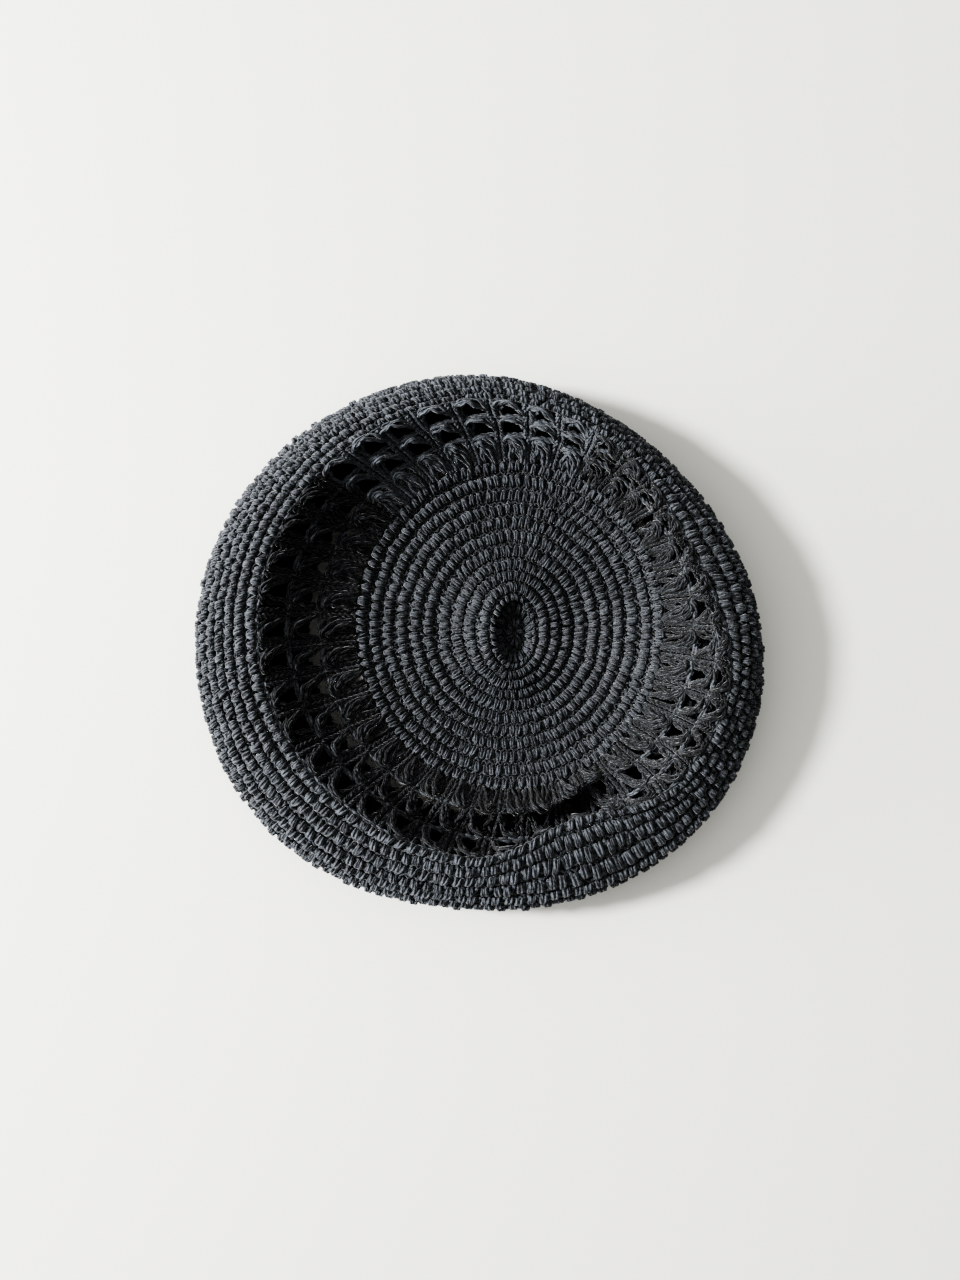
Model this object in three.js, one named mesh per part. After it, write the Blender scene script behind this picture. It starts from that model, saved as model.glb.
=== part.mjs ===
// A crocheted cotton beret that lies empty: its slack crown has sunk into the head opening underneath.
// Millimetres, +Z up. The origin is on the surface below it, under the middle of its outline.
// The fabric is one surface in a polar grid: an azimuth round the hat, and a level that counts rings
// from the middle of the crown, over the rim and in underneath to the free edge of the head opening.
// Each band is a stretch of levels, given a thickness.
import * as THREE from 'three';

// Driving dimensions
const fabricThickness = 4; // thick cotton in single crochet, from its front loops to its back loops
const restingDepth = 0.3; // fabric this close to the surface below is pressed flat on it
const seamLevel = 0.03; // half the gap between two bands, in levels: they end up 0.3 to 0.8 mm apart
const repeats = 39; // shells in one round of the openwork
const openworkRounds = 3; // rounds of shells between the crown and the rim
const sides = 2 * repeats; // flat sides round each band
const broadFold = 70; // half width in degrees from which a fold also turns the way the fabric faces

// The fabric's rings, from the middle of the crown to the head opening. Each is a tilted ellipse:
// x, y is its centre, halfX and halfY are its half widths and z its height,
// and riseX and riseY say how much higher it stands at its +X and +Y ends.
const rings = [
  { name: 'tip', x: 16, y: 4, halfX: 0, halfY: 0, z: 4.6, riseX: 0, riseY: 0 },
  { name: 'pinch', x: 16, y: 4, halfX: 5.5, halfY: 10, z: 5.2, riseX: 0, riseY: 0 },
  { name: 'hump', x: 15.5, y: 4.5, halfX: 9.5, halfY: 15.5, z: 11, riseX: -2, riseY: 0 },
  { name: 'innerFlat', x: 14.5, y: 6, halfX: 30, halfY: 34, z: 4, riseX: 0, riseY: 0 },
  { name: 'restIn', x: 14.5, y: 6.5, halfX: 38, halfY: 42, z: 4, riseX: 0, riseY: 0 },
  { name: 'restOut', x: 14, y: 7, halfX: 48, halfY: 52, z: 4, riseX: 0, riseY: 0 },
  { name: 'outerFlat', x: 14, y: 7, halfX: 57, halfY: 61, z: 4.5, riseX: 0.5, riseY: 0 },
  { name: 'crownEdge', x: 13.5, y: 7.3, halfX: 67, halfY: 71.5, z: 8.5, riseX: 2, riseY: 0.5 },
  { name: 'lowWall', x: 12.5, y: 7, halfX: 77.5, halfY: 79, z: 16, riseX: 3.8, riseY: 1.5 },
  { name: 'midWall', x: 11, y: 6.5, halfX: 87, halfY: 85.5, z: 25.5, riseX: 5.8, riseY: 2.8 },
  { name: 'highWall', x: 9, y: 6, halfX: 94, halfY: 90, z: 35, riseX: 7, riseY: 4 },
  { name: 'crest', x: 8, y: 5.5, halfX: 100, halfY: 95, z: 40, riseX: 7.2, riseY: 4.5 },
  { name: 'shoulder', x: 6, y: 3.5, halfX: 110, halfY: 104, z: 37.5, riseX: 5.8, riseY: 3.5 },
  { name: 'slope', x: 3.5, y: 1.5, halfX: 117.5, halfY: 111, z: 29.5, riseX: 3.5, riseY: 2.2 },
  { name: 'girth', x: 0.5, y: 0, halfX: 121.8, halfY: 114.2, z: 19.5, riseX: 2.5, riseY: 1.2 },
  { name: 'under', x: -0.5, y: -0.5, halfX: 121.2, halfY: 113.5, z: 10.8, riseX: 1.2, riseY: 0.8 },
  { name: 'turn', x: -1, y: -0.5, halfX: 114.5, halfY: 106.7, z: 2.4, riseX: 0.3, riseY: 0.1 },
  { name: 'turnIn', x: 0, y: 0, halfX: 106, halfY: 98.5, z: 0, riseX: 0, riseY: 0 },
  { name: 'headEdge', x: 6.5, y: 6, halfX: 81, halfY: 82, z: 0, riseX: 0, riseY: 0 },
];

// Where the soft fabric leaves those ellipses. A fold moves the rings from first to last, most at its
// azimuth and not at all past its half width: out is away from the middle, up is +Z.
const folds = [
  { first: 'lowWall', last: 'lowWall', azimuth: 277, halfWidth: 40, out: -1, up: 4 }, // ridge of shells
  { first: 'midWall', last: 'midWall', azimuth: 280, halfWidth: 40, out: -2, up: -7 }, // crease behind it
  { first: 'highWall', last: 'highWall', azimuth: 285, halfWidth: 42, out: -8, up: -5 },
  { first: 'crest', last: 'crest', azimuth: 288, halfWidth: 42, out: -10, up: 0 }, // rim leans in over it
  { first: 'shoulder', last: 'shoulder', azimuth: 290, halfWidth: 42, out: -6, up: 1 },
  { first: 'midWall', last: 'highWall', azimuth: 298, halfWidth: 18, out: -1, up: -3 }, // pocket at its end
  { first: 'crest', last: 'crest', azimuth: 299, halfWidth: 20, out: -3, up: 0 },
  { first: 'slope', last: 'turnIn', azimuth: 312, halfWidth: 55, out: 4.5, up: 0 }, // full outline past it
  { first: 'slope', last: 'turnIn', azimuth: 225, halfWidth: 45, out: 3, up: 0 },
  { first: 'lowWall', last: 'lowWall', azimuth: 42, halfWidth: 60, out: -2, up: 0 }, // flattened far side
  { first: 'midWall', last: 'midWall', azimuth: 42, halfWidth: 60, out: -5, up: 0 },
  { first: 'highWall', last: 'shoulder', azimuth: 42, halfWidth: 60, out: -8, up: 0 },
  { first: 'slope', last: 'turnIn', azimuth: 42, halfWidth: 60, out: -7, up: 0 },
  { first: 'highWall', last: 'highWall', azimuth: 5, halfWidth: 110, out: 0, up: -3 }, // lower roll on the right
  { first: 'crest', last: 'crest', azimuth: 5, halfWidth: 110, out: 1, up: -9 },
  { first: 'shoulder', last: 'shoulder', azimuth: 5, halfWidth: 110, out: 1, up: -11 },
  { first: 'slope', last: 'slope', azimuth: 5, halfWidth: 110, out: 0, up: -7 },
  { first: 'girth', last: 'girth', azimuth: 5, halfWidth: 110, out: 0, up: -3 },
  { first: 'highWall', last: 'crest', azimuth: 85, halfWidth: 75, out: 0, up: -4 }, // and on the far side
  { first: 'shoulder', last: 'slope', azimuth: 85, halfWidth: 75, out: 0, up: -3 },
];

// One gap of the openwork inside its cell. along runs from the crown side of a round to its rim side,
// across from one shell to the next: wide at the foot, leaning to a point under the next shell.
const shellGap = [
  { along: 0.16, across: 0.2 },
  { along: 0.16, across: 0.78 },
  { along: 0.62, across: 0.8 },
  { along: 0.68, across: 0.66 },
];

const lastLevel = rings.length - 1;
const levelOf = Object.fromEntries(rings.map((ring, level) => [ring.name, level]));

// Smooth bump: 1 at the fold's azimuth, 0 at its half width and beyond
function foldShare(fold, azimuth) {
  const away = Math.abs(THREE.MathUtils.euclideanModulo(azimuth - fold.azimuth + 180, 360) - 180);
  return away < fold.halfWidth ? 0.5 + 0.5 * Math.cos((Math.PI * away) / fold.halfWidth) : 0;
}

// Where one ring passes an azimuth, with every fold or with the broad ones alone
function ringPoint(ring, azimuth, everyFold) {
  const turn = THREE.MathUtils.degToRad(azimuth);
  const outward = new THREE.Vector3(Math.cos(turn), Math.sin(turn), 0);
  const point = new THREE.Vector3(
    ring.x + ring.halfX * outward.x,
    ring.y + ring.halfY * outward.y,
    ring.z + ring.riseX * outward.x + ring.riseY * outward.y,
  );
  for (const fold of folds) {
    const level = levelOf[ring.name];
    if (level < levelOf[fold.first] || level > levelOf[fold.last]) continue;
    if (!everyFold && fold.halfWidth < broadFold) continue;
    const share = foldShare(fold, azimuth);
    point.addScaledVector(outward, fold.out * share);
    point.z += fold.up * share;
  }
  return point;
}

// The seen face of the fabric: a smooth curve through the rings at one azimuth, read at a level
function seenPoint(azimuth, level, everyFold = true) {
  const section = rings.map((ring) => ringPoint(ring, azimuth, everyFold));
  return new THREE.CatmullRomCurve3(section).getPoint(level / lastLevel);
}

// Which way the fabric faces, taken without the narrow folds so that they keep an even wall
function facing(azimuth, level) {
  if (level === 0) return new THREE.Vector3(0, 0, 1);
  const reach = 0.6; // levels to either side, wide enough to even out the turn over the crest
  const inner = Math.max(level - reach, 0);
  const outer = Math.min(level + reach, lastLevel);
  const along = seenPoint(azimuth, outer, false).sub(seenPoint(azimuth, inner, false));
  const around = seenPoint(azimuth + 1, level, false).sub(seenPoint(azimuth - 1, level, false));
  return along.cross(around).normalize();
}

// Fabric is pressed flat where it lies on the surface below
function pressed(point) {
  if (point.z < restingDepth) point.z = 0;
  return point;
}

// The hidden face, one fabric thickness behind the seen one.
// At a seam both bands face the same way, so that the gap between them stays even.
function hiddenPoint(azimuth, level) {
  const seams = [levelOf.crownEdge, levelOf.crest, levelOf.turn];
  const seam = seams.find((ring) => Math.abs(level - ring) < 2 * seamLevel);
  return seenPoint(azimuth, level).addScaledVector(facing(azimuth, seam ?? level), -fabricThickness);
}

// A patch is a set of corners on the polar grid with the triangles between them
function newPatch() {
  return { corners: [], found: new Map(), triangles: [] };
}

function corner(patch, side, level) {
  const turn = level === 0 ? 0 : ((side % sides) * 360) / sides;
  const key = `${turn.toFixed(5)} ${level.toFixed(5)}`;
  if (!patch.found.has(key)) {
    patch.found.set(key, patch.corners.length);
    patch.corners.push({ azimuth: turn, level });
  }
  return patch.found.get(key);
}

// Rings of four-sided facets between the given levels, closed to a point at level 0
function closedRings(levels) {
  const patch = newPatch();
  for (let row = 0; row + 1 < levels.length; row++) {
    for (let side = 0; side < sides; side++) {
      const near = corner(patch, side, levels[row]);
      const far = corner(patch, side, levels[row + 1]);
      const farNext = corner(patch, side + 1, levels[row + 1]);
      const nearNext = corner(patch, side + 1, levels[row]);
      patch.triangles.push([near, far, farNext]);
      if (levels[row] > 0) patch.triangles.push([near, farNext, nearNext]);
    }
  }
  return patch;
}

// Rounds of cells, each a facet of fabric with one shell gap through it
function piercedRings(fromLevel, toLevel) {
  const patch = newPatch();
  const outline = [
    [0, 0],
    [0.5, 0],
    [1, 0],
    [1, 0.5],
    [1, 1],
    [0.5, 1],
    [0, 1],
    [0, 0.5],
  ].map(([along, across]) => new THREE.Vector2(along, across));
  const gap = shellGap.map(({ along, across }) => new THREE.Vector2(along, across)).reverse();
  const facets = THREE.ShapeUtils.triangulateShape(outline, [gap]);
  const cellCorners = [...outline, ...gap];
  const roundLevels = (toLevel - fromLevel) / openworkRounds;
  const sidesPerCell = sides / repeats;
  for (let round = 0; round < openworkRounds; round++) {
    for (let shell = 0; shell < repeats; shell++) {
      const here = cellCorners.map(({ x, y }) =>
        corner(patch, (shell + y) * sidesPerCell, fromLevel + (round + x) * roundLevels),
      );
      facets.forEach((facet) => patch.triangles.push(facet.map((i) => here[i])));
    }
  }
  return patch;
}

// A patch made solid: its seen face, its hidden face, and a strip between them along every open edge
function fabricWall(patch) {
  const seen = patch.corners.map(({ azimuth, level }) => pressed(seenPoint(azimuth, level)));
  const hidden = patch.corners.map(({ azimuth, level }) => pressed(hiddenPoint(azimuth, level)));
  const behind = seen.length;
  const faces = [];
  const edges = new Map();
  for (const [a, b, c] of patch.triangles) {
    faces.push([a, b, c], [behind + a, behind + c, behind + b]);
    for (const [from, to] of [[a, b], [b, c], [c, a]]) {
      if (!edges.delete(`${to} ${from}`)) edges.set(`${from} ${to}`, [from, to]);
    }
  }
  for (const [from, to] of edges.values()) {
    faces.push([to, from, behind + from], [to, behind + from, behind + to]);
  }
  const geometry = new THREE.BufferGeometry().setFromPoints([...seen, ...hidden]);
  geometry.setIndex(faces.flat());
  geometry.computeVertexNormals();
  return geometry;
}

// Evenly spaced levels from one to another
function levelsBetween(from, to, steps) {
  return Array.from({ length: steps + 1 }, (_, i) => THREE.MathUtils.lerp(from, to, i / steps));
}

function cottonMesh(name, patch, colour) {
  const cotton = new THREE.MeshStandardMaterial({ color: colour, roughness: 0.92, metalness: 0 });
  const mesh = new THREE.Mesh(fabricWall(patch), cotton);
  mesh.name = name;
  return mesh;
}

// Crown: single crochet from the pinched middle out to the first shells
const crownLevels = [
  ...levelsBetween(levelOf.tip, levelOf.innerFlat, 6),
  levelOf.restIn,
  levelOf.restOut,
  ...levelsBetween(levelOf.outerFlat, levelOf.crownEdge - seamLevel, 2),
];
const crown = cottonMesh('crown', closedRings(crownLevels), '#1c1d20');

// Openwork band: rounds of shells that make the wall round the sunken crown
const openworkPatch = piercedRings(levelOf.crownEdge + seamLevel, levelOf.crest - seamLevel);
const openworkBand = cottonMesh('openwork_band', openworkPatch, '#18191c');

// Rim band: single crochet over the crest, out and down to where it meets the surface below
const rimLevels = levelsBetween(levelOf.crest + seamLevel, levelOf.turn - seamLevel, 10);
const rimBand = cottonMesh('rim_band', closedRings(rimLevels), '#202225');

// Underside band: single crochet that lies flat and turns in under the openwork to the head opening
const undersideLevels = [levelOf.turn + seamLevel, levelOf.turnIn, levelOf.headEdge];
const undersideBand = cottonMesh('underside_band', closedRings(undersideLevels), '#1c1d20');

const beret = new THREE.Group();
beret.name = 'crocheted_beret';
beret.add(crown, openworkBand, rimBand, undersideBand);

export default beret;
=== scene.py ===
import bpy
import numpy as np
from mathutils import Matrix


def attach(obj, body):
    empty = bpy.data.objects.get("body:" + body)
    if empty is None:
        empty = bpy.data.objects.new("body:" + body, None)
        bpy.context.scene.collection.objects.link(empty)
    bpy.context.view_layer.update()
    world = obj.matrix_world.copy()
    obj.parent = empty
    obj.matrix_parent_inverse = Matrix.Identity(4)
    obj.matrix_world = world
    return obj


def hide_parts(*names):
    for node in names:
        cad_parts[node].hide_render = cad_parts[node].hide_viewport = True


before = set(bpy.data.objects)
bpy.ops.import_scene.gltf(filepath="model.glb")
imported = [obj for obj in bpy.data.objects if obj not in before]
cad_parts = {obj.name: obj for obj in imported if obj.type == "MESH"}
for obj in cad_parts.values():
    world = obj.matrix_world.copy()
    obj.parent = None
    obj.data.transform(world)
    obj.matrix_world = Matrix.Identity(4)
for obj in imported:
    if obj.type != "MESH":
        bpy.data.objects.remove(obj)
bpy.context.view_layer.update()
rng = np.random.default_rng(39)  # seeded, so that every run gives the same stitches
mm = 0.001
print("frame loaded:", sorted(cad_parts))

# The fabric's rings in mm, from the middle of the crown to the head opening. Each is a tilted ellipse:
# centre x, y plus (halfX cos, halfY sin), at height z + riseX cos + riseY sin of the azimuth.
rings = {  # x, y, halfX, halfY, z, riseX, riseY
    "tip": (16, 4, 0, 0, 4.6, 0, 0),
    "pinch": (16, 4, 5.5, 10, 5.2, 0, 0),
    "hump": (15.5, 4.5, 9.5, 15.5, 11, -2, 0),
    "innerFlat": (14.5, 6, 30, 34, 4, 0, 0),
    "restIn": (14.5, 6.5, 38, 42, 4, 0, 0),
    "restOut": (14, 7, 48, 52, 4, 0, 0),
    "outerFlat": (14, 7, 57, 61, 4.5, 0.5, 0),
    "crownEdge": (13.5, 7.3, 67, 71.5, 8.5, 2, 0.5),
    "lowWall": (12.5, 7, 77.5, 79, 16, 3.8, 1.5),
    "midWall": (11, 6.5, 87, 85.5, 25.5, 5.8, 2.8),
    "highWall": (9, 6, 94, 90, 35, 7, 4),
    "crest": (8, 5.5, 100, 95, 40, 7.2, 4.5),
    "shoulder": (6, 3.5, 110, 104, 37.5, 5.8, 3.5),
    "slope": (3.5, 1.5, 117.5, 111, 29.5, 3.5, 2.2),
    "girth": (0.5, 0, 121.8, 114.2, 19.5, 2.5, 1.2),
    "under": (-0.5, -0.5, 121.2, 113.5, 10.8, 1.2, 0.8),
    "turn": (-1, -0.5, 114.5, 106.7, 2.4, 0.3, 0.1),
    "turnIn": (0, 0, 106, 98.5, 0, 0, 0),
    "headEdge": (6.5, 6, 81, 82, 0, 0, 0),
}
# Where the soft fabric leaves those ellipses: most at the azimuth, nothing past the half width
folds = [  # first ring, last ring, azimuth, halfWidth, out, up
    ("hump", "hump", 175, 70, 0, 2.5),  # shades the pinch
    ("lowWall", "lowWall", 277, 40, 0, 8),  # ridge of shells
    ("midWall", "midWall", 274, 46, 3, -17),  # crease behind it
    ("highWall", "highWall", 276, 46, 4, -14),
    ("crest", "crest", 291, 29, -12, 0),  # rim leans in over it
    ("shoulder", "shoulder", 292, 32, -7, 1),
    ("lowWall", "lowWall", 300, 18, -4, -3),  # pocket at its end
    ("midWall", "highWall", 299, 20, -1, -7),
    ("slope", "turnIn", 312, 55, 4.5, 0),  # full outline past it
    ("slope", "turnIn", 225, 45, 3, 0),
    ("lowWall", "lowWall", 42, 60, -2, 0),  # flattened far side
    ("midWall", "midWall", 42, 60, -5, 0),
    ("highWall", "shoulder", 42, 60, -8, 0),
    ("slope", "turnIn", 42, 60, -7, 0),
    ("highWall", "highWall", 5, 110, 0, -3),  # lower roll on the right
    ("crest", "crest", 5, 110, 1, -9),
    ("shoulder", "shoulder", 5, 110, 1, -11),
    ("slope", "slope", 5, 110, 0, -7),
    ("girth", "girth", 5, 110, 0, -3),
    ("highWall", "crest", 18, 42, -7, 0),  # its crest lies further in
    ("highWall", "crest", 85, 75, 0, -4),  # lower on the far side too
    ("shoulder", "slope", 85, 75, 0, -3),
]
fabric = {
    "sectionApart": 20.0,  # degrees between the sections that are measured
    "sectionPoints": 641,  # in each, from the tip to the head opening
    "faceReach": 0.3,  # levels to each side, over which the fabric's facing is taken
    "faceTurn": 1,  # degree to each side
    "clearOfTip": 0.2,  # level, the nearest to the tip that a facing is taken
    "tableGap": 0.1,  # mm, the lowest that a strand lies
    "leanRun": 5,  # mm along a strand, after which lean has moved it by its share of a step
    "twistStart": 20,  # mm of yarn, in which the twist of a strand starts at random
}
ringNames = list(rings)
ringTable = np.array(list(rings.values()), float)
lastLevel = len(rings) - 1


# Ring points at each azimuth, folds included: ellipse + (out, up) * (0.5 + 0.5 cos(pi * away / halfWidth))
def ringPoints(azimuth):
    turn = np.radians(azimuth)
    cosine, sine = np.cos(turn), np.sin(turn)
    x, y, halfX, halfY, z, riseX, riseY = ringTable.T[:, :, None]
    points = np.stack([x + halfX * cosine, y + halfY * sine, z + riseX * cosine + riseY * sine], -1)
    for first, last, centre, halfWidth, out, up in folds:
        away = np.abs((azimuth - centre + 180) % 360 - 180)
        share = np.where(away < halfWidth, 0.5 + 0.5 * np.cos(np.pi * away / halfWidth), 0)
        move = np.stack([out * share * cosine, out * share * sine, up * share], -1)
        points[ringNames.index(first):ringNames.index(last) + 1] += move
    return points


# Seen face of the fabric: a centripetal Catmull-Rom curve through the rings, read at a level.
# A level counts rings from the tip, and each end is carried on straight.
def seenPoint(azimuth, level):
    points = ringPoints(azimuth)
    before = 2 * points[:1] - points[1:2]
    after = 2 * points[-1:] - points[-2:-1]
    points = np.concatenate([before, points, after])
    row = np.clip(np.floor(level).astype(int), 0, lastLevel - 1)
    each = np.arange(len(level))
    p0, p1, p2, p3 = (points[row + step, each] for step in range(4))
    gap0, gap1, gap2 = (
        np.maximum(np.sqrt(np.linalg.norm(b - a, axis=1)), 1e-4)[:, None]  # never zero
        for a, b in ((p0, p1), (p1, p2), (p2, p3))
    )
    leave = ((p1 - p0) / gap0 - (p2 - p0) / (gap0 + gap1) + (p2 - p1) / gap1) * gap1
    arrive = ((p2 - p1) / gap1 - (p3 - p1) / (gap1 + gap2) + (p3 - p2) / gap2) * gap1
    t = (level - row)[:, None]
    cubic = 2 * p1 - 2 * p2 + leave + arrive
    square = -3 * p1 + 3 * p2 - 2 * leave - arrive
    return p1 + leave * t + square * t**2 + cubic * t**3


# Which way the fabric faces: the cross product of its directions along a section and round the hat
def facing(azimuth, level):
    reach, turn = fabric["faceReach"], fabric["faceTurn"]
    level = np.maximum(level, fabric["clearOfTip"])
    outer = seenPoint(azimuth, np.minimum(level + reach, lastLevel))
    along = outer - seenPoint(azimuth, np.maximum(level - reach, 0))
    around = seenPoint(azimuth + turn, level) - seenPoint(azimuth - turn, level)
    normal = np.cross(along, around)
    return normal / np.linalg.norm(normal, axis=1)[:, None]


# Distance along the fabric from the tip, in mm, averaged round the hat, against the level
sectionLevels = np.linspace(0, lastLevel, fabric["sectionPoints"])
sectionAzimuths = np.arange(0, 360, fabric["sectionApart"])
sections = seenPoint(
    np.repeat(sectionAzimuths, len(sectionLevels)), np.tile(sectionLevels, len(sectionAzimuths))
).reshape(len(sectionAzimuths), len(sectionLevels), 3)
stepLengths = np.linalg.norm(np.diff(sections, axis=1), axis=2).mean(0)
sectionRun = np.concatenate([[0], np.cumsum(stepLengths)])


def runTo(ringName):
    return np.interp(ringNames.index(ringName), sectionLevels, sectionRun)


# Points in mm: the seen face at an azimuth and a run along the fabric, plus height times its facing,
# none of them below the table
def onFabric(azimuth, run, height):
    flat = [part.ravel() for part in np.broadcast_arrays(azimuth, run, height)]
    level = np.interp(flat[1], sectionRun, sectionLevels)
    points = seenPoint(flat[0], level) + flat[2][:, None] * facing(flat[0], level)
    points[:, 2] = np.maximum(points[:, 2], fabric["tableGap"])
    return points


# A strand: a section of six or four sides carried along a path of (across, along, height) points in mm.
# Each section is path + radius * (cos(turn) * side + sin(turn) * top), both square to the path.
# wrap gives each corner its run along the yarn and its share of a turn round it.
def strandShape(path, radius, sides=6):
    path = np.asarray(path, float)
    count = len(path)
    tangent = np.gradient(path, axis=0)
    tangent /= np.linalg.norm(tangent, axis=1)[:, None]
    side = np.cross(tangent, (0, 0, 1))
    side /= np.linalg.norm(side, axis=1)[:, None]
    top = np.cross(side, tangent)
    turn = 2 * np.pi * np.arange(sides) / sides
    spokes = np.cos(turn)[None, :, None] * side[:, None] + np.sin(turn)[None, :, None] * top[:, None]
    points = path[:, None] + np.broadcast_to(radius, count)[:, None, None] * spokes
    row, spoke = np.meshgrid(np.arange(count - 1), np.arange(sides), indexing="ij")
    following = (spoke + 1) % sides
    quads = np.stack([row * sides + spoke, (row + 1) * sides + spoke,
                      (row + 1) * sides + following, row * sides + following], -1).reshape(-1, 4)
    start = np.array([[0, 1, 2, 3], [0, 3, 4, 5]])[:sides // 2 - 1]  # quads that close an end
    end = (count - 1) * sides + start[:, ::-1]
    run = np.concatenate([[0], np.cumsum(np.linalg.norm(np.diff(path, axis=0), axis=1))])
    nearRun, farRun = run[row], run[row + 1]
    nearTurn, farTurn = spoke / sides, (spoke + 1) / sides
    wrap = np.stack([
        np.stack([nearRun, nearTurn], -1), np.stack([farRun, nearTurn], -1),
        np.stack([farRun, farTurn], -1), np.stack([nearRun, farTurn], -1)], 2).reshape(-1, 4, 2)
    ends = np.full((2 * len(start), 4, 2), 0.5)
    ends[:, :, 0] = np.repeat([0, run[-1]], len(start))[:, None]
    return {"points": points.reshape(-1, 3), "quads": np.concatenate([quads, start, end]),
            "wrap": np.concatenate([wrap, ends])}


# Copies of a strand on the fabric. across is a share of the step between neighbours, and lean slants it:
# azimuth = place + step * (across / pitch + lean * along / leanRun), run = start + along.
# The painted shading given is added to the random tint of each copy: above zero it is painted light, below
# zero painted shade.
def layStrands(shape, pitch, azimuth, step, start, lean=0.0, lift=0.0, paintedShading=0.0):
    across, along, height = shape["points"].T
    azimuth, step, start, lean, lift = (
        np.broadcast_to(value, np.shape(azimuth))[:, None]
        for value in (azimuth, step, start, lean, lift)
    )
    points = onFabric(azimuth + step * (across / pitch + lean * along / fabric["leanRun"]),
                      start + along, height + lift)
    copies, size = len(azimuth), len(shape["points"])
    quads = (shape["quads"][None] + size * np.arange(copies)[:, None, None]).reshape(-1, 4)
    twist = np.stack([rng.uniform(0, fabric["twistStart"], copies), np.zeros(copies)], -1)
    wrap = shape["wrap"][None] + twist[:, None, None]
    tint = np.repeat(rng.uniform(0, 1, copies) + paintedShading, size)
    return {"points": points, "quads": quads, "wrap": wrap.reshape(-1, 4, 2), "tint": tint}


# A thin sheet inside the stitches, so that no light comes through: a closed loop of section points,
# out along one depth and back along the other, carried round the hat
def coreSheet(fromRun, toRun, depths, rows, sides=117):
    run = np.linspace(fromRun, toRun, rows)
    runLoop = np.concatenate([run, run[::-1]])
    heightLoop = np.repeat(-np.array(depths, float), rows)
    azimuth = np.arange(sides) * 360 / sides
    points = onFabric(azimuth[:, None], runLoop[None], heightLoop[None])
    loop = len(runLoop)
    side, place = np.meshgrid(np.arange(sides), np.arange(loop), indexing="ij")
    nextSide, nextPlace = (side + 1) % sides, (place + 1) % loop
    quads = np.stack([side * loop + place, side * loop + nextPlace,
                      nextSide * loop + nextPlace, nextSide * loop + place], -1).reshape(-1, 4)
    wrap = np.zeros((len(quads), 4, 2))
    # Its tint is zero, the darkest of the plain stitches, as painted shade where it shows between them.
    return {"points": points, "quads": quads, "wrap": wrap, "tint": np.zeros(len(points))}


# sRGB hex to linear
def linearColour(hexCode):
    value = np.array([int(hexCode[i:i + 2], 16) for i in (1, 3, 5)]) / 255
    linear = np.where(value <= 0.04045, value / 12.92, ((value + 0.055) / 1.055) ** 2.4)
    return (*linear.tolist(), 1.0)


def addNode(tree, kind, inputs, **settings):
    node = tree.nodes.new("ShaderNode" + kind)
    for name, value in settings.items():
        setattr(node, name, value)
    for name, value in inputs.items():
        if isinstance(value, bpy.types.NodeSocket):
            tree.links.new(value, node.inputs[name])
        else:
            node.inputs[name].default_value = value
    return node


def newMaterial(name):
    material = bpy.data.materials.new(name)
    material.use_nodes = True
    material.node_tree.nodes.clear()
    return material, material.node_tree


cotton = {
    "deep": "#0a0b0e",  # between the fibres; the painted shade in the ply grooves and on the shells goes towards it
    "paintedLightAndWear": "#585c63",  # raised fibres, a little greyed; the painted highlight on ply crests and the painted light on the far shells go towards it
    "plies": 4,  # strands twisted into the yarn
    "twist": 5.5,  # mm of yarn for one turn of a ply
    "fibre": 0.26,  # mm, drawn coarser than real fibres so that it shows
    "detail": 2.0,  # halvings of the noise, the last of which is one fibre wide
    "speckle": 2.2,  # contrast between neighbouring fibres
    "patch": 14.0,  # mm, uneven dye
    "plyPaintedShade": 0.28,  # how much plies, strands and patches change the colour: plies paint shade into their grooves, strands add their random tint with the painted shading of shells and cores, patches are uneven dye
    "strandShade": 0.35,
    "patchShade": 0.4,
    "paintedLightAndWearRange": (0.25, 1.45),  # from deep to the pale colour
    "relief": 0.5,  # mm, depth of the plies
    "fibreRelief": 1.6,  # of the fibres, beside the plies
    "bump": 0.8,
}
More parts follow.
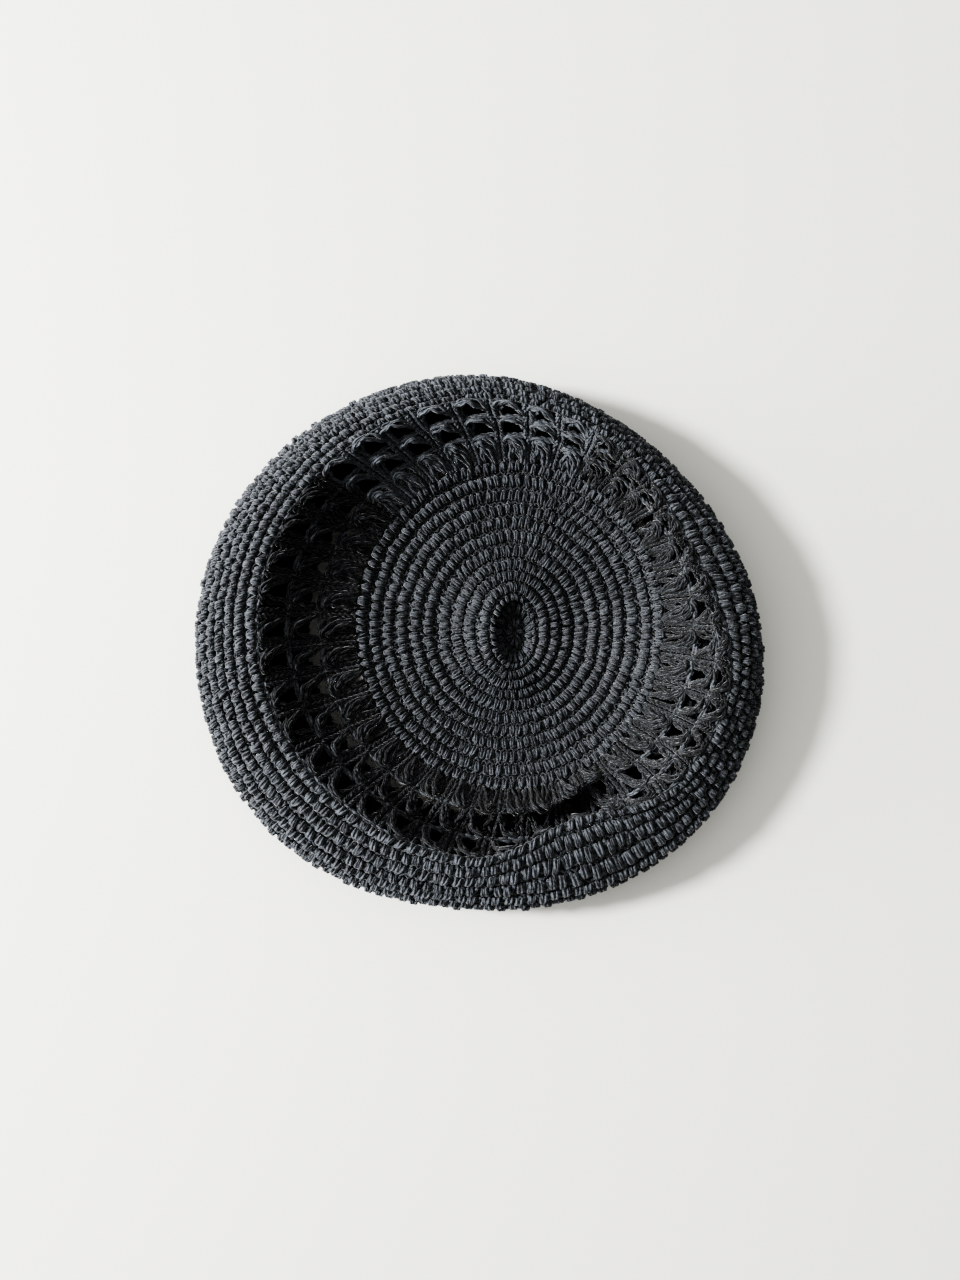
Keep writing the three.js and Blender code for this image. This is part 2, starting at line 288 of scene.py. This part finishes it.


# Soft-spun cotton yarn, dyed black and crocheted by hand: matt, with plies that catch the light
# and a faint bloom of loose fibres at glancing angles.
# Share of the pale colour, part wear and part painted light = speckled fibre + ply term + strand tint term +
# dye patch term; the ply term is painted shade in the grooves between plies and painted highlight on their
# crests.
def cottonYarn():
    material, tree = newMaterial("black_cotton_yarn")
    wrap = addNode(tree, "UVMap", {}, uv_map="strand").outputs["UV"]
    parts = addNode(tree, "SeparateXYZ", {"Vector": wrap}).outputs
    place = addNode(tree, "TexCoord", {}).outputs["Object"]
    turns = addNode(tree, "Math", {0: parts["X"], 1: 1 / cotton["twist"]}, operation="MULTIPLY")
    phase = addNode(tree, "Math", {0: parts["Y"], 1: float(cotton["plies"]), 2: turns.outputs[0]},
                    operation="MULTIPLY_ADD")
    angle = addNode(tree, "Math", {0: phase.outputs[0], 1: 2 * np.pi}, operation="MULTIPLY")
    ply = addNode(tree, "Math", {0: angle.outputs[0]}, operation="SINE").outputs[0]
    fibreScale = 1 / (cotton["fibre"] * mm * 2 ** cotton["detail"])
    fibre = addNode(tree, "TexNoise", {"Vector": place, "Scale": fibreScale,
                                       "Detail": cotton["detail"]}).outputs["Fac"]
    patch = addNode(tree, "TexNoise", {"Vector": place, "Scale": 1 / (cotton["patch"] * mm),
                                       "Detail": cotton["detail"]}).outputs["Fac"]
    tint = addNode(tree, "Attribute", {}, attribute_name="tint").outputs["Fac"]
    surface = addNode(tree, "Math", {0: fibre, 1: cotton["fibreRelief"], 2: ply},
                      operation="MULTIPLY_ADD").outputs[0]
    paintedLightAndWear = addNode(tree, "Math", {0: fibre, 1: cotton["speckle"], 2: 0.5 - cotton["speckle"] / 2},
                   operation="MULTIPLY_ADD").outputs[0]
    for source, shade in ((ply, "plyPaintedShade"), (tint, "strandShade"), (patch, "patchShade")):
        paintedLightAndWear = addNode(tree, "Math", {0: source, 1: cotton[shade], 2: paintedLightAndWear},
                       operation="MULTIPLY_ADD").outputs[0]
    share = addNode(tree, "MapRange", {"Value": paintedLightAndWear, "From Min": cotton["paintedLightAndWearRange"][0],
                                       "From Max": cotton["paintedLightAndWearRange"][1]}).outputs[0]
    colour = addNode(tree, "Mix", {0: share, 6: linearColour(cotton["deep"]),
                                   7: linearColour(cotton["paintedLightAndWear"])}, data_type="RGBA").outputs[2]
    bump = addNode(tree, "Bump", {"Height": surface, "Strength": cotton["bump"],
                                  "Distance": cotton["relief"] * mm / 2}).outputs["Normal"]
    shader = addNode(tree, "BsdfPrincipled", {
        "Base Color": colour, "Normal": bump, "Roughness": 0.68, "IOR": 1.53,
        "Specular IOR Level": 0.3, "Sheen Weight": 0.22, "Sheen Roughness": 0.45})
    addNode(tree, "OutputMaterial", {"Surface": shader.outputs[0]})
    return material


# Joined mesh from several laid sets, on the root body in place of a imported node
def makePiece(name, sets, material, nodeName):
    sizes = np.cumsum([0] + [len(each["points"]) for each in sets])
    points = np.concatenate([each["points"] for each in sets]) * mm
    quads = np.concatenate([each["quads"] + first for each, first in zip(sets, sizes)])
    mesh = bpy.data.meshes.new(name)
    mesh.from_pydata(points, [], quads.tolist())
    mesh.uv_layers.new(name="strand").data.foreach_set(
        "uv", np.concatenate([each["wrap"] for each in sets]).astype(np.float32).ravel())
    mesh.attributes.new("tint", "FLOAT", "POINT").data.foreach_set(
        "value", np.concatenate([each["tint"] for each in sets]).astype(np.float32))
    mesh.shade_smooth()
    mesh.materials.append(material)
    piece = bpy.data.objects.new(name, mesh)
    bpy.context.scene.collection.objects.link(piece)
    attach(piece, "root")
    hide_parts(nodeName)
    print(name, len(quads) * 2, "triangles")


stitch = {
    "foot": 0.17,  # of the round's height, where the legs leave the round below
    "head": 0.8,  # of the round's height, the middle of the strand where it turns back
    "top": -0.3,  # mm off the seen face, the middle of the strand at its highest
    "dive": 1.2,  # mm lower at the foot and the head
    "steps": 10,
    "thin": 0.74,  # of the yarn's radius at the ends of a front loop
    "swell": 0.34,  # of it, added in the middle
    "plainWide": (0.21, 0.11),  # of a pitch, half width at the feet and at the head
    "turnedWide": (0.12, 0.19),  # in rounds worked the other way
    "lean": 0.12,  # of a pitch, the slant of turned rounds, one way and the other
    "backTop": -2.3,
    "backDive": -0.6,
    "backSteps": 6,
    "backWide": 0.2,
    "backYarn": 0.9,  # of the yarn's radius
    "linkYarn": 0.85,
    "aroundSpread": 0.08,  # of a step, how unevenly the stitches are worked
    "runSpread": 0.28,  # mm
    "leanSpread": 0.12,
    "liftSpread": 0.26,  # mm
}
chainLink = [  # of a pitch across, mm along and mm off the seen face
    (-0.55, 0.9, -2.9), (-0.2, -0.9, -2.4), (0.2, 0.7, -2.4), (0.55, -0.8, -2.9),
]


# One single crochet: a loop of yarn that leaves the round below, lies out along the fabric, turns at
# its head and comes back beside itself. For t from 0 to 1 and reach = sin(pi t)^0.75:
# along = foot to head by reach, across = half width * cos(pi t)^0.3, height = top - dive * (2 reach - 1)^2
def stitchPath(pitch, height, feetWide, headWide, top, dive, steps):
    t = np.linspace(0, 1, steps)
    reach = np.sin(np.pi * t) ** 0.75
    cosine = np.cos(np.pi * t)
    wide = pitch * (feetWide + (headWide - feetWide) * reach)
    across = -np.sign(cosine) * wide * np.abs(cosine) ** 0.3
    along = height * (stitch["foot"] + (stitch["head"] - stitch["foot"]) * reach)
    return np.stack([across, along, top - dive * (2 * reach - 1) ** 2], -1)


# Rounds of single crochet. Every second round is worked the other way, so its legs spread at the head
# and not at the feet. Each stitch has its front loop, a back loop and a link of the chain between rounds.
# A front loop's radius = yarn * (thin + swell * sin(pi t)^0.5).
def crochetRounds(firstRun, height, counts, pitch, yarnRadius):
    roundIndex = np.repeat(np.arange(len(counts)), counts)
    order = np.arange(len(roundIndex)) - (np.cumsum(counts) - counts)[roundIndex]
    step = 360 / counts[roundIndex]
    shift = rng.uniform(0, 1, len(counts))[roundIndex]
    azimuth = (order + shift + rng.normal(0, stitch["aroundSpread"], len(order))) * step
    start = firstRun + height * roundIndex + rng.normal(0, stitch["runSpread"], len(order))
    turned = roundIndex % 2 == 1
    slant = np.where(turned, stitch["lean"], -stitch["lean"])
    lean = slant + rng.normal(0, stitch["leanSpread"], len(order))
    lift = rng.normal(0, stitch["liftSpread"], len(order))
    fullness = np.sin(np.pi * np.linspace(0, 1, stitch["steps"])) ** 0.5
    frontRadius = yarnRadius * (stitch["thin"] + stitch["swell"] * fullness)
    fronts, backs = [], []
    for chosen, wide in ((~turned, stitch["plainWide"]), (turned, stitch["turnedWide"])):
        frontPath = stitchPath(pitch, height, *wide, stitch["top"], stitch["dive"], stitch["steps"])
        backPath = stitchPath(pitch, height, stitch["backWide"], stitch["backWide"],
                              stitch["backTop"], stitch["backDive"], stitch["backSteps"])
        fronts.append(layStrands(strandShape(frontPath, frontRadius), pitch, azimuth[chosen],
                                 step[chosen], start[chosen], lean[chosen], lift[chosen]))
        backs.append(layStrands(strandShape(backPath, stitch["backYarn"] * yarnRadius), pitch,
                                azimuth[chosen] + 0.5 * step[chosen], step[chosen],
                                start[chosen], -lean[chosen]))
    link = strandShape(np.array(chainLink) * [pitch, 1, 1], stitch["linkYarn"] * yarnRadius, 4)
    chain = layStrands(link, pitch, azimuth, step, start)
    return fronts, backs, chain


yarn = cottonYarn()

crown = {
    "rounds": 13,
    "growth": 9,  # stitches added in each round
    "pitch": 3.9,  # mm, one stitch
    "yarn": 0.72,  # mm, radius
    "core": (3.2, 3.8),  # mm, depths of the sheet inside
    "coreEnds": (1.5, 0.5),  # mm, how far it stays from the tip and from the edge
    "coreRows": 26,
}
crownRun = runTo("crownEdge")
crownHeight = crownRun / crown["rounds"]
crownCounts = crown["growth"] * np.arange(1, crown["rounds"] + 1)
crownFronts, crownBacks, crownChain = crochetRounds(
    0.0, crownHeight, crownCounts, crown["pitch"], crown["yarn"])
crownCore = coreSheet(crown["coreEnds"][0], crownRun - crown["coreEnds"][1], crown["core"], crown["coreRows"])
makePiece("crown_stitches", [*crownFronts, *crownBacks, crownChain, crownCore], yarn, "crown")

rim = {
    "rounds": 10,
    "firstCount": 136,  # stitches at the crest
    "lastCount": 168,
    "pitch": 4.5,  # mm, one stitch
    "yarn": 0.96,  # mm, radius
    "core": (3.2, 3.8),  # mm, depths of the sheet inside
    "coreOverlap": 1,  # mm, how far it reaches in past the crest
    "coreRows": 22,
}
rimStart = runTo("crest")
rimHeight = (runTo("turn") - rimStart) / rim["rounds"]
rimCounts = np.linspace(rim["firstCount"], rim["lastCount"], rim["rounds"]).astype(int)
rimFronts, rimBacks, rimChain = crochetRounds(rimStart, rimHeight, rimCounts, rim["pitch"], rim["yarn"])
rimCore = coreSheet(rimStart - rim["coreOverlap"], runTo("turn"), rim["core"], rim["coreRows"])
makePiece("rim_front_stitches", rimFronts, yarn, "rim_band")
makePiece("rim_back_stitches", [*rimBacks, rimChain, rimCore], yarn, "rim_band")

underside = {
    "rounds": 7,
    "firstCount": 134,  # stitches where the rim turns under
    "lastCount": 99,  # at the head opening
    "pitch": 5.2,  # mm, one stitch
    "yarn": 1.04,  # mm, radius
    "core": (1.8, 2.3),  # mm, depths of the sheet inside
    "coreEnd": 1,  # mm, how far it stays from the head opening
    "coreRows": 8,
}
undersideStart = runTo("turn")
undersideHeight = (runTo("headEdge") - undersideStart) / underside["rounds"]
undersideCounts = np.linspace(
    underside["firstCount"], underside["lastCount"], underside["rounds"]).astype(int)
undersideFronts, undersideBacks, undersideChain = crochetRounds(
    undersideStart, undersideHeight, undersideCounts, underside["pitch"], underside["yarn"])
undersideCore = coreSheet(undersideStart, runTo("headEdge") - underside["coreEnd"],
                          underside["core"], underside["coreRows"])
makePiece("underside_stitches", [*undersideFronts, *undersideBacks, undersideChain, undersideCore],
          yarn, "underside_band")
print("rounds: crown", round(crownHeight, 2), "rim", round(rimHeight, 2),
      "underside", round(undersideHeight, 2), "mm")

shells = {
    "rounds": 3,
    "repeats": 39,
    "cell": 13.6,  # mm, width of one repeat at mid wall
    "cellSpread": 0.5,  # degrees, how unevenly the repeats are worked
    "wave": 0.4,  # mm, how far a strand of a shell leaves its curve
    "waves": 2.3,  # along one strand
    "steps": 12,
    "endShare": 0.3,  # of a bundle's width and rise, left at its ends
    "edgeDrop": 0.6,  # of its rise, lost by the strands at its sides
    "wander": (0.35, 0.45, 0.4),  # spread of a strand: degrees around, mm along and mm off the face
    "paintedShading": -1.6,  # painted shade: the shells drawn blacker than the rim, for the shade in the hollow of the hat
    "farPaintedLight": 0.8,  # painted light: the shells on the far side drawn paler, as if lit more
    "stretched": (62, 132),  # degrees, the far side, where the shells are pulled open
}
posts = {
    "apart": 1.25,  # mm, from the middle of a pair to each post
    "depth": -1.9,  # mm off the seen face
    "overlap": 0.6,  # mm, into the rounds above and below
    "turns": 3,  # of a post's plies in one round
    "steps": 17,
    "yarn": 0.78,  # mm, radius of a ply
    "twistRadius": 0.48,  # mm, from the middle of a cord to the middle of a ply
}
ledge = {  # the twisted cord along the top of each round
    "depth": -2.2,
    "overlap": 0.4,  # mm, into the next repeat
    "turns": 2,
    "steps": 12,
    "yarn": 0.9,
}
# Bundles of strands in one repeat: corners of a cubic Bezier as shares of the cell, across and along,
# then strands, half width and strand radius in mm, depth of the bundle's ends and rise of its middle
fullPuff = [(0.82, 0.82), (0.56, 1.12), (0.3, 0.76), (0.15, 0.1)]
fullLeg = [(0.6, 0.92), (0.72, 0.8), (0.8, 0.45), (0.86, 0.0)]
openPuff = [(0.9, 0.7), (0.7, 1.08), (0.36, 1.06), (0.14, 0.36)]
openLeg = [(0.62, 0.96), (0.74, 0.9), (0.82, 0.5), (0.88, 0.0)]
closedPuff = [(0.84, 0.78), (0.6, 1.1), (0.36, 0.7), (0.26, -0.08)]
closedLeg = [(0.5, 0.92), (0.66, 0.8), (0.72, 0.4), (0.76, -0.08)]
fullShell = [(fullPuff, 5, 1.75, 0.76, -2.4, 2.3), (fullLeg, 3, 0.8, 0.74, -3.0, 1.4)]
closedShell = [(closedPuff, 6, 3.4, 0.84, -2.2, 2.0), (closedLeg, 4, 2.3, 0.88, -2.9, 1.4)]
openShell = [(openPuff, 4, 1.4, 0.76, -2.2, 2.2), (openLeg, 2, 0.8, 0.8, -2.9, 1.4)]
shellHeight = (rimStart - crownRun) / shells["rounds"]
cellIndex = np.arange(shells["rounds"] * shells["repeats"])
cellStep = 360 / shells["repeats"]
cellRound = cellIndex // shells["repeats"]
cellSpread = rng.normal(0, shells["cellSpread"], len(cellIndex))
cellAzimuth = (cellIndex % shells["repeats"]) * cellStep + cellSpread
cellStart = crownRun + shellHeight * cellRound
firstRound = cellRound == 0
farSide = (cellAzimuth > shells["stretched"][0]) & (cellAzimuth < shells["stretched"][1])
pulledOpen = farSide & ~firstRound
# Painted light and shade on each cell: paler on the far side, blacker everywhere else.
cellPaintedShading = np.where(farSide, shells["farPaintedLight"], shells["paintedShading"])


# One ply of a twisted cord: a helix round the straight line from one point to another,
# line + twistRadius * (cos(angle) * side + sin(angle) * up)
def plyPath(fromPoint, toPoint, phase, turns, steps):
    t = np.linspace(0, 1, steps)[:, None]
    run = np.array(toPoint, float) - np.array(fromPoint)
    side = np.cross(run / np.linalg.norm(run), (0, 0, 1))
    angle = 2 * np.pi * turns * t + phase
    helix = np.cos(angle) * side + np.sin(angle) * np.array([0, 0, 1])
    return np.array(fromPoint) + run * t + posts["twistRadius"] * helix


# One strand of a bundle: a cubic Bezier across the cell, set to its side of the bundle and raised
# in the middle, both by full = endShare + (1 - endShare) sin(pi t), and waved over and under its neighbours
def bundlePath(corners, side, spread, depth, rise, steps):
    c0, c1, c2, c3 = np.array(corners) * [shells["cell"], shellHeight]
    t = np.linspace(0, 1, steps)[:, None]
    line = (1 - t)**3 * c0 + 3 * t * (1 - t)**2 * c1 + 3 * t**2 * (1 - t) * c2 + t**3 * c3
    tangent = np.gradient(line, axis=0)
    tangent /= np.linalg.norm(tangent, axis=1)[:, None]
    full = shells["endShare"] + (1 - shells["endShare"]) * np.sin(np.pi * t)
    wave = shells["wave"] * np.sin(2 * np.pi * (shells["waves"] * t + rng.uniform(0, 1, (1, 2))))
    flat = line + (side * spread * full + wave[:, :1]) * tangent[:, ::-1] * [1, -1]
    return np.hstack([flat, depth + rise * full * (1 - shells["edgeDrop"] * side**2) + wave[:, 1:]])


postSets = []
for sideOfPair in (-1, 1):
    across = sideOfPair * posts["apart"]
    postFoot = (across, -posts["overlap"], posts["depth"])
    postHead = (across, shellHeight + posts["overlap"], posts["depth"])
    for ply in (0, 1):
        path = plyPath(postFoot, postHead, np.pi * ply + sideOfPair, posts["turns"] * sideOfPair,
                       posts["steps"])
        postSets.append(layStrands(strandShape(path, posts["yarn"]), shells["cell"], cellAzimuth,
                                   cellStep, cellStart, paintedShading=cellPaintedShading))
ledgeStart = (-ledge["overlap"], shellHeight, ledge["depth"])
ledgeEnd = (shells["cell"] + ledge["overlap"], shellHeight, ledge["depth"])
for ply in (0, 1):
    path = plyPath(ledgeStart, ledgeEnd, np.pi * ply, ledge["turns"], ledge["steps"])
    postSets.append(layStrands(strandShape(path, ledge["yarn"]), shells["cell"], cellAzimuth,
                               cellStep, cellStart))
makePiece("openwork_posts", postSets, yarn, "openwork_band")

puffSets = []
shellZones = (
    (firstRound, closedShell),
    (~firstRound & ~pulledOpen, fullShell),
    (pulledOpen, openShell),
)
for chosen, shell in shellZones:
    for corners, strands, spread, radius, depth, rise in shell:
        for side in np.linspace(-1, 1, strands):
            path = bundlePath(corners, side, spread, depth, rise, shells["steps"])
            around, along, off = np.array(shells["wander"])[:, None] * rng.normal(0, 1, (3, chosen.sum()))
            puffSets.append(layStrands(strandShape(path, radius), shells["cell"],
                                       cellAzimuth[chosen] + around, cellStep, cellStart[chosen] + along,
                                       lift=off, paintedShading=cellPaintedShading[chosen]))
makePiece("openwork_puffs", puffSets, yarn, "openwork_band")

tableTop = {
    "colour": "#d8d8d5",
    "paler": "#dcdbd8",
    "half": 4.0,  # m, half its width
    "clouds": 3.0,  # uneven patches in one metre
}


# White table top, smooth satin paint: nearly even, with a faint unevenness
def tablePaint():
    material, tree = newMaterial("white_satin_paint")
    place = addNode(tree, "TexCoord", {}).outputs["Object"]
    cloud = addNode(tree, "TexNoise", {"Vector": place, "Scale": tableTop["clouds"],
                                       "Detail": 1.0}).outputs["Fac"]
    colour = addNode(tree, "Mix", {0: cloud, 6: linearColour(tableTop["colour"]),
                                   7: linearColour(tableTop["paler"])}, data_type="RGBA").outputs[2]
    shader = addNode(tree, "BsdfPrincipled", {"Base Color": colour, "Roughness": 0.6,
                                              "Specular IOR Level": 0.2})
    addNode(tree, "OutputMaterial", {"Surface": shader.outputs[0]})
    return material


half = tableTop["half"]
floorCorners = [(-half, -half, 0), (half, -half, 0), (half, half, 0), (-half, half, 0)]
floorMesh = bpy.data.meshes.new("table_top")
floorMesh.from_pydata(floorCorners, [], [(0, 1, 2, 3)])
floorMesh.materials.append(tablePaint())
floor = bpy.data.objects.new("table_top", floorMesh)
bpy.context.scene.collection.objects.link(floor)
print("table laid")

lamps = {  # azimuth and elevation in degrees, distance and width in m, power in W
    "window": (172, 39, 1.6, 0.28, 46),  # from the left and a little from the far side, casts the shadow
    "low_window": (178, 9, 3.2, 1.8, 70),  # broad and low, lights the rim's left flank
}
light = {
    "sky": 1.1,  # radiance on the bright side of the room
    "shade": 0.03,  # share of it on the dark side
    "backdrop": 1.6,  # what the camera sees past the table
    "brightSide": (-0.6, 0.35, 0.72),  # towards the window and up
    "falloff": (-0.1, 0.8),  # dot products with it, from the dark side to the bright one
    "roomTone": (1, 1, 0.96, 1),
    "backdropTone": (1, 1, 0.99, 1),
}
for lampName, (azimuth, elevation, distance, width, power) in lamps.items():
    turn, rise = np.radians(azimuth), np.radians(elevation)
    towards = np.array([np.cos(rise) * np.cos(turn), np.cos(rise) * np.sin(turn), np.sin(rise)])
    lampData = bpy.data.lights.new(lampName, "AREA")
    lampData.shape = "DISK"
    lampData.size = width
    lampData.energy = power
    lamp = bpy.data.objects.new(lampName, lampData)
    lamp.location = (towards * distance).tolist()
    lamp.rotation_euler = (np.pi / 2 - rise, 0, turn + np.pi / 2)
    bpy.context.scene.collection.objects.link(lamp)


# Soft room light, brighter from the window's side and from above than from the right
def roomLight():
    world = bpy.data.worlds.new("studio")
    world.use_nodes = True
    tree = world.node_tree
    tree.nodes.clear()
    direction = addNode(tree, "TexCoord", {}).outputs["Generated"]
    facingWindow = addNode(tree, "VectorMath", {0: direction, 1: light["brightSide"]},
                           operation="DOT_PRODUCT").outputs["Value"]
    glow = addNode(tree, "MapRange", {"Value": facingWindow, "From Min": light["falloff"][0],
                                      "From Max": light["falloff"][1],
                                      "To Min": light["sky"] * light["shade"],
                                      "To Max": light["sky"]}).outputs[0]
    room = addNode(tree, "Background", {"Color": light["roomTone"], "Strength": glow}).outputs[0]
    backdrop = addNode(tree, "Background", {"Color": light["backdropTone"],
                                            "Strength": light["backdrop"]}).outputs[0]
    seen = addNode(tree, "LightPath", {}).outputs["Is Camera Ray"]
    mixed = addNode(tree, "MixShader", {0: seen, 1: room, 2: backdrop}).outputs[0]
    addNode(tree, "OutputWorld", {"Surface": mixed})
    return world


bpy.context.scene.world = roomLight()
print("lights set")

view = {
    "height": 0.555,  # m above the table, straight down
    "x": 0.0009,
    "y": 0.0009,
    "lens": 35.21,  # mm
    "sensor": 36,  # mm
}
cameraData = bpy.data.cameras.new("camera")
cameraData.lens = view["lens"]
cameraData.sensor_width = view["sensor"]
camera = bpy.data.objects.new("camera", cameraData)
camera.location = (view["x"], view["y"], view["height"])
bpy.context.scene.collection.objects.link(camera)
bpy.context.scene.camera = camera
bpy.context.scene.view_settings.view_transform = "AgX"
bpy.context.scene.view_settings.look = "AgX - Very High Contrast"

print("scene ready")
